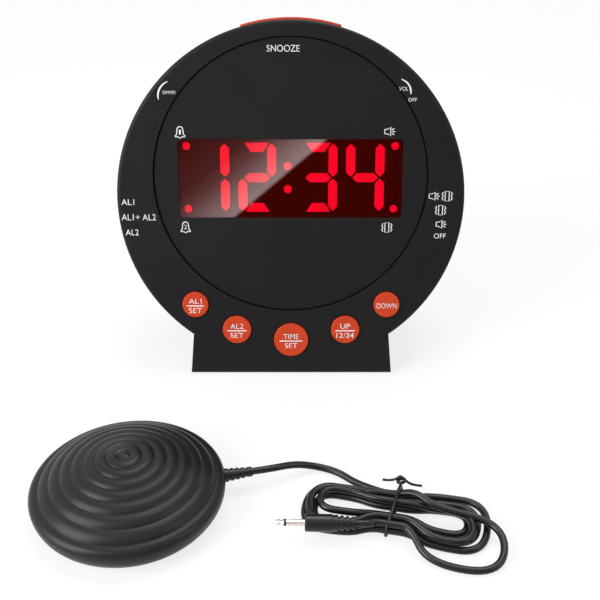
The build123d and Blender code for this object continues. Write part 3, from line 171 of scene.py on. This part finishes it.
# Twist tie, in millimetres along the hank, across it and up
TIE_LIFT = 1.2
TIE_DIAMETER = 1.3
TIE_TAIL_DIAMETER = TIE_DIAMETER * 0.75
TIE_BAND = (
    (1.6, 12.8, 1.0),
    (1.6, 12.9, 5.6),
    (1.0, 8.0, 8.2),
    (-0.2, -5.0, 8.2),
    (-1.2, -10.9, 5.8),
    (-1.4, -10.9, 1.0),
    (-0.6, -6.0, 0.7),
    (1.0, 8.0, 0.7),
)
TIE_TAILS = (
    (-5.6, 13.4, 6.3),
    (-3.4, 12.2, 7.4),
    (-0.6, 12.6, 8.2),
    (0.9, 12.8, 10.2),
    (2.6, 12.6, 8.6),
    (5.4, 12.4, 6.6),
    (9.2, 13.2, 6.2),
)
TIE_KNOT = (
    (0.2, 11.4, 7.4),
    (2.8, 11.6, 8.2),
    (2.6, 13.6, 8.4),
    (0.0, 13.4, 7.6),
)


def face_point(x, y, out=0.0):
    """A point of the face in metres, from millimetres along its axes."""
    return FACE_ORIGIN + (FACE_X * x + FACE_Y * y + FACE_Z * out) * MM


def face_matrix(x, y, out=0.0):
    """Placement of a flat mark that lies on the face."""
    matrix = Matrix((FACE_X, FACE_Y, FACE_Z)).transposed().to_4x4()
    matrix.translation = face_point(x, y, out)
    return matrix


def link(obj):
    bpy.context.scene.collection.objects.link(obj)
    return obj


# Materials


def new_material(name):
    material = bpy.data.materials.new(name)
    material.use_nodes = True
    tree = material.node_tree
    return material, tree.nodes, tree.links, tree.nodes["Principled BSDF"]


def uneven(parts, links, socket, noise, span, low, high):
    """Let a shader's socket vary between two values with a cloudy noise."""
    scale, detail = noise
    place = parts.new("ShaderNodeTexCoord")
    cloud = parts.new("ShaderNodeTexNoise")
    cloud.inputs["Scale"].default_value = scale
    cloud.inputs["Detail"].default_value = detail
    links.new(place.outputs["Object"], cloud.inputs["Vector"])
    level = parts.new("ShaderNodeMapRange")
    level.inputs["From Min"].default_value = span[0]
    level.inputs["From Max"].default_value = span[1]
    level.inputs["To Min"].default_value = low
    level.inputs["To Max"].default_value = high
    links.new(cloud.outputs["Fac"], level.inputs["Value"])
    links.new(level.outputs["Result"], socket)


def moulded(name, colour, roughness, grain, relief, shine=0.3):
    """Moulded plastic or rubber: even colour, fine erosion grain, soft edges, slightly uneven gloss."""
    material, parts, links, shader = new_material(name)
    shader.inputs["Base Color"].default_value = (*colour, 1)
    shader.inputs["Specular IOR Level"].default_value = shine
    place = parts.new("ShaderNodeTexCoord")
    fine = parts.new("ShaderNodeTexNoise")
    fine.inputs["Scale"].default_value = 1 / (grain * MM)
    fine.inputs["Detail"].default_value = GRAIN_DETAIL
    links.new(place.outputs["Object"], fine.inputs["Vector"])
    bump = parts.new("ShaderNodeBump")
    bump.inputs["Strength"].default_value = GRAIN_STRENGTH
    bump.inputs["Distance"].default_value = relief * MM
    links.new(fine.outputs["Fac"], bump.inputs["Height"])
    edge = parts.new("ShaderNodeBevel")
    edge.samples = EDGE_SAMPLES
    edge.inputs["Radius"].default_value = EDGE_ROUND * MM
    links.new(edge.outputs["Normal"], bump.inputs["Normal"])
    links.new(bump.outputs["Normal"], shader.inputs["Normal"])
    smooth, rough = roughness - GLOSS_SPREAD, roughness + GLOSS_SPREAD
    uneven(parts, links, shader.inputs["Roughness"], GLOSS_NOISE, MIDDLE_SPAN, smooth, rough)
    return material


def metal(name, colour, roughness):
    """Plated or turned metal with fine streaks in its gloss."""
    material, parts, links, shader = new_material(name)
    shader.inputs["Base Color"].default_value = (*colour, 1)
    shader.inputs["Metallic"].default_value = 1.0
    smooth, rough = roughness * STREAK_SMOOTH, roughness * STREAK_ROUGH
    uneven(parts, links, shader.inputs["Roughness"], STREAK_NOISE, FULL_SPAN, smooth, rough)
    return material


def lens_material():
    """Polished dark red filter over the display."""
    material, parts, links, shader = new_material("lens_red")
    shader.inputs["Base Color"].default_value = (*LENS_COLOUR, 1)
    shader.inputs["Alpha"].default_value = LENS_ALPHA
    shader.inputs["Coat Weight"].default_value = LENS_COAT
    shader.inputs["Coat Roughness"].default_value = LENS_COAT_ROUGHNESS
    uneven(parts, links, shader.inputs["Roughness"], HAZE_NOISE, FULL_SPAN, *LENS_ROUGHNESS)
    return material


def glow(name, colour, strength):
    """A lit display bar: a cloudy moulding, a little uneven in the light that comes through it."""
    material, parts, links, shader = new_material(name)
    shader.inputs["Base Color"].default_value = (*colour, 1)
    shader.inputs["Roughness"].default_value = BAR_ROUGHNESS
    shader.inputs["Emission Color"].default_value = (*colour, 1)
    dim, bright = strength * (1 - BAR_UNEVEN), strength * (1 + BAR_UNEVEN)
    uneven(parts, links, shader.inputs["Emission Strength"], CLOUD_NOISE, MIDDLE_SPAN, dim, bright)
    return material


def background_rays(parts, links):
    """A socket that is 1 for rays that meet the white background: seen straight, mirrored or through."""
    path = parts.new("ShaderNodeLightPath")
    straight = parts.new("ShaderNodeMath")
    straight.operation = "MAXIMUM"
    links.new(path.outputs["Is Camera Ray"], straight.inputs[0])
    links.new(path.outputs["Is Transmission Ray"], straight.inputs[1])
    seen = parts.new("ShaderNodeMath")
    seen.operation = "MAXIMUM"
    links.new(straight.outputs["Value"], seen.inputs[0])
    links.new(path.outputs["Is Glossy Ray"], seen.inputs[1])
    return seen.outputs["Value"]


case_black = moulded("case_black", (0.0095, 0.0095, 0.0103), 0.45, 0.22, 0.03, shine=0.13)
shaker_black = moulded("shaker_black", (0.0105, 0.0103, 0.011), 0.36, 0.25, 0.015, shine=0.22)
control_black = moulded("control_black", (0.01, 0.01, 0.0105), 0.42, 0.2, 0.02)
control_orange = moulded("control_orange", (0.485, 0.044, 0.012), 0.42, 0.2, 0.02, shine=0.15)
rubber_black = moulded("rubber_black", (0.015, 0.015, 0.015), 0.6, 0.3, 0.03, shine=0.2)
cord_black = moulded("cord_black", (0.006, 0.006, 0.0065), 0.27, 0.5, 0.008, shine=0.35)
reflector_dark = moulded("reflector_dark", (0.010, 0.002, 0.002), 0.7, 0.3, 0.003, shine=0.05)
board_green = moulded("board_green", (0.01, 0.09, 0.03), 0.35, 0.6, 0.02)
battery_wrap = moulded("battery_wrap", (0.05, 0.05, 0.06), 0.3, 0.6, 0.01)
cone_paper = moulded("cone_paper", (0.02, 0.02, 0.02), 0.8, 0.3, 0.05)
mark_white = moulded("mark_white", (0.74, 0.74, 0.74), 0.55, 0.2, 0.005)
steel = metal("steel", (0.55, 0.55, 0.56), 0.3)
nickel = metal("nickel", (0.78, 0.77, 0.75), 0.16)
brass = metal("brass", (0.72, 0.5, 0.2), 0.25)
lens_red = lens_material()
lit_red = glow("lit_red", (1.0, 0.0, 0.02), 4.0)

NODE_LOOKS = {
    case_black: ("front_housing", "rear_housing", "face_panel", "battery_door"),
    lens_red: ("display_lens",),
    reflector_dark: ("display_reflector", "unlit_segments"),
    lit_red: ("lit_segments",),
    control_orange: (
        "snooze_bar",
        "alarm1_button",
        "alarm2_button",
        "time_button",
        "up_button",
        "down_button",
    ),
    control_black: (
        "dimmer_wheel",
        "volume_wheel",
        "alarm_slider",
        "mode_slider",
        "tact_switches",
        "snooze_switch",
        "dimmer_pot",
        "volume_pot",
        "alarm_switch",
        "mode_switch",
        "power_jack",
        "shaker_jack",
        "battery_snap",
    ),
    board_green: ("main_board", "button_board"),
    steel: (
        "housing_screws",
        "board_screws",
        "shaker_screws",
        "speaker_frame",
        "speaker_magnet",
        "motor_clamp",
        "shaker_motor",
        "motor_shaft",
    ),
    cone_paper: ("speaker_cone",),
    battery_wrap: ("backup_battery",),
    rubber_black: ("foot_pad", "twist_tie"),
    shaker_black: ("shaker_top_shell", "shaker_base_shell"),
    brass: ("eccentric_weight",),
    cord_black: ("cable_gland", "plug_body", "plug_insulator"),
    nickel: ("plug_sleeve", "plug_tip"),
}
for material, names in NODE_LOOKS.items():
    for name in names:
        mesh = nodes[name].data
        mesh.materials.clear()
        mesh.materials.append(material)

# Cord and hank


def hank_point(u, v, z):
    """A point of the hank from millimetres along it, across it and up."""
    return HANK_CENTRE + HANK_ALONG * u + HANK_ACROSS * v + Vector((0, 0, z))


def strand(half_turn):
    """Side, offset at the waist and layer height of one strand of the hank."""
    side = 1 if half_turn % 2 == 0 else -1
    offset = HANK_INNER + abs(HANK_REVERSAL - half_turn) * HANK_STEP / 2
    layer = HANK_LAYER_RISE if half_turn > HANK_REVERSAL else 0
    return side, offset, layer


def hank_route():
    """Control points of the hank: out along one strand, round an end turn, back along the next."""
    lay = CORD_DIAMETER / 2
    waist = lay + TIE_LIFT
    route = []
    for half_turn in range(HANK_HALF_TURNS):
        side, offset, layer = strand(half_turn)
        next_side, next_offset, next_layer = strand(half_turn + 1)
        askew, climb = HANK_ASKEW.get(half_turn, (0, 0))
        wide = side * (offset + HANK_PINCH) + askew
        next_wide = next_side * (next_offset + HANK_PINCH) + askew
        end_lay = lay + (HANK_LAYER_RISE if half_turn >= HANK_REVERSAL else 0)
        far_lay = lay if climb else end_lay
        reach = HANK_REACH + (HANK_LONG_LOOP if half_turn == HANK_HALF_TURNS - 1 else 0)
        corner = reach + abs(wide - next_wide) / 2
        route += [
            hank_point(0, side * offset, waist + layer),
            hank_point(side * HANK_REACH / 3, side * offset, waist + layer + climb),
            hank_point(side * HANK_REACH * 2 / 3, wide, end_lay + climb),
            hank_point(side * corner, wide, far_lay + climb),
            hank_point(side * corner, next_wide, far_lay),
            hank_point(side * HANK_REACH * 2 / 3, next_wide, far_lay),
            hank_point(side * HANK_REACH / 3, next_side * next_offset, waist + next_layer),
        ]
    side, offset, layer = strand(HANK_HALF_TURNS)
    route.append(hank_point(0, side * offset, waist + layer))
    return route


def cord_route():
    """Control points of the whole cord, from the shaker's gland to the back of the plug."""
    hank = hank_route()
    hank_start = hank[0] - HANK_ALONG * CORD_DIAMETER
    plug_out = Vector((-cos(PLUG_ANGLE), -sin(PLUG_ANGLE), 0))
    plug_rear = hank_point(*PLUG_START)
    return [
        CORD_EXIT - GLAND_OUT * CORD_DIAMETER,
        CORD_EXIT,
        CORD_EXIT + GLAND_OUT * LEAD_FIRST_RUN,
        *[Vector(point) for point in LEAD_MIDDLE],
        hank_start - HANK_ALONG * LEAD_LAST_RUN,
        hank_start,
        *hank,
        hank[-1] - HANK_ALONG * 2 * CORD_DIAMETER,
        plug_rear - plug_out * 2 * CORD_DIAMETER,
        plug_rear,
        plug_rear + plug_out * CORD_DIAMETER,
    ]


def build_wire(name, points, diameter, closed=False):
    """A round wire or cord along smoothed control points in millimetres."""
    curve = bpy.data.curves.new(name, "CURVE")
    curve.dimensions = "3D"
    curve.bevel_depth = diameter / 2 * MM
    curve.bevel_resolution = WIRE_ROUNDNESS
    curve.resolution_u = WIRE_STEPS
    curve.use_fill_caps = True
    spline = curve.splines.new("NURBS")
    spline.points.add(len(points) - 1)
    for target, point in zip(spline.points, points):
        target.co = (*(point * MM), 1)
    spline.order_u = 3
    spline.use_endpoint_u = not closed
    spline.use_cyclic_u = closed
    curve.materials.append(cord_black)
    wire = link(bpy.data.objects.new(name, curve))
    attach(wire, "shaker")
    return wire


def build_tie():
    """A coated wire round the waist of the hank, twisted on its far side and left with two tails."""
    wires = [
        build_wire("tie_band", [hank_point(*point) for point in TIE_BAND], TIE_DIAMETER, closed=True),
        build_wire("tie_tails", [hank_point(*point) for point in TIE_TAILS], TIE_TAIL_DIAMETER),
        build_wire("tie_knot", [hank_point(*point) for point in TIE_KNOT], TIE_DIAMETER, closed=True),
    ]
    for wire in wires:
        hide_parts("twist_tie")
    return wires


def build_cord():
    cord = build_wire("cord", cord_route(), CORD_DIAMETER)
    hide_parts("cord_lead", "cord_hank")
    build_tie()


build_cord()

# Printed marks: words and signs in white ink on the face and the buttons


def build_words(name, words, place, size, out, body):
    """Lettering fitted to a width and height in millimetres, centred on a place of the face."""
    curve = bpy.data.curves.new(name, "FONT")
    curve.body = words
    curve.extrude = INK * MM / 2
    curve.materials.append(mark_white)
    mark = link(bpy.data.objects.new(name, curve))
    bpy.context.view_layer.update()
    corners = [Vector(corner) for corner in mark.bound_box]
    low = Vector([min(c[axis] for c in corners) for axis in range(3)])
    high = Vector([max(c[axis] for c in corners) for axis in range(3)])
    fit = Matrix.Diagonal((size[0] * MM / (high.x - low.x), size[1] * MM / (high.y - low.y), 1, 1))
    mark.matrix_world = face_matrix(*place, out) @ fit @ Matrix.Translation(-(low + high) / 2)
    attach(mark, body)


def arc(centre, radius, start, stop, steps):
    """Points round an arc, its angles in degrees."""
    turns = [radians(start + (stop - start) * step / steps) for step in range(steps + 1)]
    return [(centre[0] + radius * cos(turn), centre[1] + radius * sin(turn)) for turn in turns]


def stroke(points, widths, closed=False):
    """Flat quads along a line through points, with a width at each point."""
    count = len(points)
    left, right = [], []
    for index, point in enumerate(points):
        before = points[index - 1] if closed or index > 0 else point
        after = points[(index + 1) % count] if closed or index < count - 1 else point
        heading = (Vector(after) - Vector(before)).normalized()
        side = Vector((-heading.y, heading.x)) * widths[index] / 2
        left.append(Vector(point) + side)
        right.append(Vector(point) - side)
    spans = range(count if closed else count - 1)
    return [(right[i], right[(i + 1) % count], left[(i + 1) % count], left[i]) for i in spans]


def line(points, width=SIGN_LINE, closed=False):
    return stroke(points, [width] * len(points), closed)


def build_sign(name, quads, place, out, body):
    """A printed sign of flat quads, given a little thickness."""
    shape = bmesh.new()
    for quad in quads:
        low = [shape.verts.new((*(corner * MM), -INK * MM / 2)) for corner in quad]
        high = [shape.verts.new((*(corner * MM), INK * MM / 2)) for corner in quad]
        shape.faces.new(high)
        shape.faces.new(low[::-1])
        for i in range(4):
            j = (i + 1) % 4
            shape.faces.new((low[i], low[j], high[j], high[i]))
    mesh = bpy.data.meshes.new(name)
    shape.to_mesh(mesh)
    shape.free()
    mesh.materials.append(mark_white)
    sign = link(bpy.data.objects.new(name, mesh))
    sign.matrix_world = face_matrix(*place, out)
    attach(sign, body)


def bell_sign():
    crown = arc((0, 1.1), 1.25, 0, 180, 8)
    foot = [(-1.45, -0.9), (-2.1, -1.5), (-2.0, -1.9), (-0.8, -1.9), (0, -2.5), (0.8, -1.9), (2.0, -1.9)]
    return line(crown + foot + [(2.1, -1.5), (1.45, -0.9)], closed=True)


def speaker_sign():
    horn = [(-2.2, -0.95), (-2.2, 0.95), (-1.1, 0.95), (0.3, 1.8), (0.3, -1.8), (-1.1, -0.95)]
    quads = line(horn, closed=True)
    for angle in (-35, 0, 35):
        turn = radians(angle)
        quads += line([(r * cos(turn) - 0.1, r * sin(turn)) for r in (1.1, 2.3)])
    return quads


def shake_sign():
    quads = line([(-0.85, -2.1), (-0.85, 2.1), (0.85, 2.1), (0.85, -2.1)], closed=True)
    for side in (-1, 1):
        zigzag = [(side * (1.7 if step % 2 == 0 else 2.2), 1.8 - 0.9 * step) for step in range(5)]
        quads += line(zigzag)
    return quads


def sweep_sign(points):
    """A curved pointer that swells toward its first end and fades to a thin tail."""
    last = len(points) - 1
    turns = [SWEEP_END * (1 - step / last) ** SWEEP_LEAN for step in range(last + 1)]
    return stroke(points, [SWEEP_THIN + SWEEP_SWELL * sin(turn) for turn in turns])


FACE_WORDS = (
    ("word_snooze", "SNOOZE", (-2.9, 63.6), (13.6, 2.7), -PANEL_RECESS),
    ("word_dimmer", "DIMMER", (-50.4, 45.9), (5.4, 1.3), 0),
    ("word_volume", "VOL", (47.1, 47.4), (3.9, 1.6), 0),
    ("word_volume_off", "OFF", (51.0, 42.9), (3.6, 1.5), 0),
    ("word_alarm_1", "AL1", (-70.2, -0.3), (5.6, 2.5), 0),
    ("word_alarm_both", "AL1+ AL2", (-65.8, -6.9), (14.8, 2.7), 0),
    ("word_alarm_2", "AL2", (-69.0, -13.6), (5.7, 2.6), 0),
    ("word_mode_off", "OFF", (64.9, -15.2), (5.2, 2.2), 0),
    ("word_bell_1", "1", (-46.7, 29.5), (0.8, 2.0), -PANEL_RECESS),
    ("word_bell_2", "2", (-45.8, -11.4), (1.2, 1.9), -PANEL_RECESS),
)
FACE_SIGNS = (
    ("sign_bell_1", bell_sign(), (-46.7, 29.4), -PANEL_RECESS),
    ("sign_bell_2", bell_sign(), (-45.8, -11.5), -PANEL_RECESS),
    ("sign_sound", speaker_sign(), (42.0, 29.7), -PANEL_RECESS),
    ("sign_shake", shake_sign(), (41.8, -11.6), -PANEL_RECESS),
    ("sign_mode_sound_1", speaker_sign(), (61.8, 2.3), 0),
    ("sign_mode_shake_1", shake_sign(), (67.3, 2.3), 0),
    ("sign_mode_shake_2", shake_sign(), (64.7, -3.8), 0),
    ("sign_mode_sound_2", speaker_sign(), (65.3, -10.0), 0),
    ("sign_dimmer_sweep", sweep_sign(arc((-48.8, 44.3), 6.4, 110, 192, 12)), (0, 0), 0),
    ("sign_volume_sweep", sweep_sign(arc((44.6, 45.8), 5.6, 75, -8, 12)), (0, 0), 0),
)
# Upper word, lower word, their widths, and the width of the rule between them
BUTTON_WORDS = {
    "alarm1_button": ("AL1", "SET", 5.7, 5.7, 7.7),
    "alarm2_button": ("AL2", "SET", 5.9, 5.9, 8.7),
    "time_button": ("TIME", "SET", 6.8, 5.6, 10.3),
    "up_button": ("UP", "12/24", 4.4, 7.8, 8.7),
    "down_button": ("DOWN", "", 8.9, 0, 0),
}


def build_marks():
    for name, words, place, size, out in FACE_WORDS:
        build_words(name, words, place, size, out + INK / 2, "clock")
    for name, quads, place, out in FACE_SIGNS:
        build_sign(name, quads, place, out + INK / 2, "clock")
    for button, (upper, lower, upper_width, lower_width, rule) in BUTTON_WORDS.items():
        low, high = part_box(button)
        middle = (low + high) / 2 - FACE_ORIGIN
        x, y = middle.dot(FACE_X) / MM, middle.dot(FACE_Y) / MM
        rise = LETTER_RISE if lower else 0
        out = BUTTON_PROUD + INK / 2
        build_words(f"{button}_upper", upper, (x, y + rise), (upper_width, LETTER_HEIGHT), out, button)
        if lower:
            build_words(f"{button}_lower", lower, (x, y - rise), (lower_width, LETTER_HEIGHT), out, button)
            rule_line = line([(-rule / 2, 0), (rule / 2, 0)], RULE_WIDTH)
            build_sign(f"{button}_rule", rule_line, (x, y), out, button)


build_marks()

# Floor, light and camera


def build_floor():
    mesh = bpy.data.meshes.new("floor")
    shape = bmesh.new()
    bmesh.ops.create_grid(shape, x_segments=1, y_segments=1, size=FLOOR_SIZE)
    shape.to_mesh(mesh)
    shape.free()
    floor = link(bpy.data.objects.new("floor", mesh))
    material, parts, links, shader = new_material("floor_white")
    shader.inputs["Base Color"].default_value = (*FLOOR_COLOUR, 1)
    shader.inputs["Roughness"].default_value = FLOOR_ROUGHNESS
    shader.inputs["Specular IOR Level"].default_value = FLOOR_SHINE
    white = parts.new("ShaderNodeEmission")
    white.inputs["Strength"].default_value = 1.0
    place = parts.new("ShaderNodeTexCoord")
    away = parts.new("ShaderNodeVectorMath")
    away.operation = "LENGTH"
    links.new(place.outputs["Object"], away.inputs[0])
    fade = parts.new("ShaderNodeMapRange")
    fade.inputs["From Min"].default_value = FLOOR_NEAR
    fade.inputs["From Max"].default_value = FLOOR_FAR
    fade.inputs["To Min"].default_value = FLOOR_SHARE
    fade.inputs["To Max"].default_value = 1.0
    links.new(away.outputs["Value"], fade.inputs["Value"])
    share = parts.new("ShaderNodeMath")
    share.operation = "MULTIPLY"
    links.new(background_rays(parts, links), share.inputs[0])
    links.new(fade.outputs["Result"], share.inputs[1])
    mix = parts.new("ShaderNodeMixShader")
    links.new(share.outputs["Value"], mix.inputs["Fac"])
    links.new(shader.outputs["BSDF"], mix.inputs[1])
    links.new(white.outputs["Emission"], mix.inputs[2])
    links.new(mix.outputs["Shader"], parts["Material Output"].inputs["Surface"])
    mesh.materials.append(material)


def build_world():
    world = bpy.data.worlds.new("studio")
    bpy.context.scene.world = world
    world.use_nodes = True
    parts = world.node_tree.nodes
    links = world.node_tree.links
    soft = parts["Background"]
    soft.inputs["Color"].default_value = (1, 1, 1, 1)
    soft.inputs["Strength"].default_value = SKY_LIGHT
    white = parts.new("ShaderNodeBackground")
    white.inputs["Color"].default_value = (1, 1, 1, 1)
    white.inputs["Strength"].default_value = 1.0
    mix = parts.new("ShaderNodeMixShader")
    links.new(background_rays(parts, links), mix.inputs["Fac"])
    links.new(soft.outputs["Background"], mix.inputs[1])
    links.new(white.outputs["Background"], mix.inputs[2])
    links.new(mix.outputs["Shader"], parts["World Output"].inputs["Surface"])


def mirrored(point):
    """Where a view ray that the lens throws back from a point meets the plane of the card."""
    ray = (point - CAMERA_PLACE).normalized()
    ray -= 2 * ray.dot(FACE_Z) * FACE_Z
    return point + ray * ((CARD_DEPTH - point.y) / ray.y)


def build_card():
    """A soft light panel behind the camera whose slanted edge shows in the lens."""
    low = mirrored(face_point(*CARD_EDGE_LOW, -PANEL_RECESS))
    high = mirrored(face_point(*CARD_EDGE_HIGH, -PANEL_RECESS))
    along = (high - low).normalized()
    across = Vector((along.z, 0, -along.x))
    mesh = bpy.data.meshes.new("card")
    shape = bmesh.new()
    bmesh.ops.create_grid(shape, x_segments=1, y_segments=1, size=CARD_SIZE)
    shape.to_mesh(mesh)
    shape.free()
    card = link(bpy.data.objects.new("card", mesh))
    card.matrix_world = Matrix((across, along, across.cross(along))).transposed().to_4x4()
    card.matrix_world.translation = (low + high) / 2
    material = bpy.data.materials.new("card_light")
    material.use_nodes = True
    parts = material.node_tree.nodes
    links = material.node_tree.links
    parts.remove(parts["Principled BSDF"])
    place = parts.new("ShaderNodeTexCoord")
    split = parts.new("ShaderNodeSeparateXYZ")
    links.new(place.outputs["Object"], split.inputs["Vector"])
    spot = parts.new("ShaderNodeMapRange")
    spot.inputs["From Min"].default_value = -CARD_SIZE
    spot.inputs["From Max"].default_value = 0.0
    links.new(split.outputs["X"], spot.inputs["Value"])
    ramp = parts.new("ShaderNodeValToRGB")
    stops = ramp.color_ramp.elements
    stops[0].color = (CARD_SIDE, CARD_SIDE, CARD_SIDE, 1)
    stops[1].color = (0, 0, 0, 1)
    for distance, level, warmth in CARD_FALL:
        stop = stops.new(1 - distance / CARD_SIZE)
        stop.color = (level, level * warmth, level * warmth, 1)
    links.new(spot.outputs["Result"], ramp.inputs["Fac"])
    light = parts.new("ShaderNodeEmission")
    light.inputs["Strength"].default_value = CARD_GLOW
    links.new(ramp.outputs["Color"], light.inputs["Color"])
    links.new(light.outputs["Emission"], parts["Material Output"].inputs["Surface"])
    mesh.materials.append(material)
    card.visible_camera = False
    card.visible_diffuse = False
    card.visible_transmission = False
    card.visible_shadow = False


def area_light(name, place, target, size, power):
    data = bpy.data.lights.new(name, "AREA")
    data.shape = "RECTANGLE"
    data.size, data.size_y = size
    data.energy = power
    lamp = link(bpy.data.objects.new(name, data))
    lamp.location = place
    lamp.rotation_euler = (Vector(target) - Vector(place)).to_track_quat("-Z", "Y").to_euler()


def build_camera():
    data = bpy.data.cameras.new("camera")
    data.lens = CAMERA_LENS
    data.clip_start = CAMERA_CLIP
    camera = link(bpy.data.objects.new("camera", data))
    camera.location = CAMERA_PLACE
    camera.rotation_euler = (pi / 2 - CAMERA_PITCH, 0, 0)
    bpy.context.scene.camera = camera


build_floor()
build_world()
build_card()
for lamp in LAMPS:
    area_light(*lamp)
build_camera()

bpy.context.scene.view_settings.view_transform = "Standard"
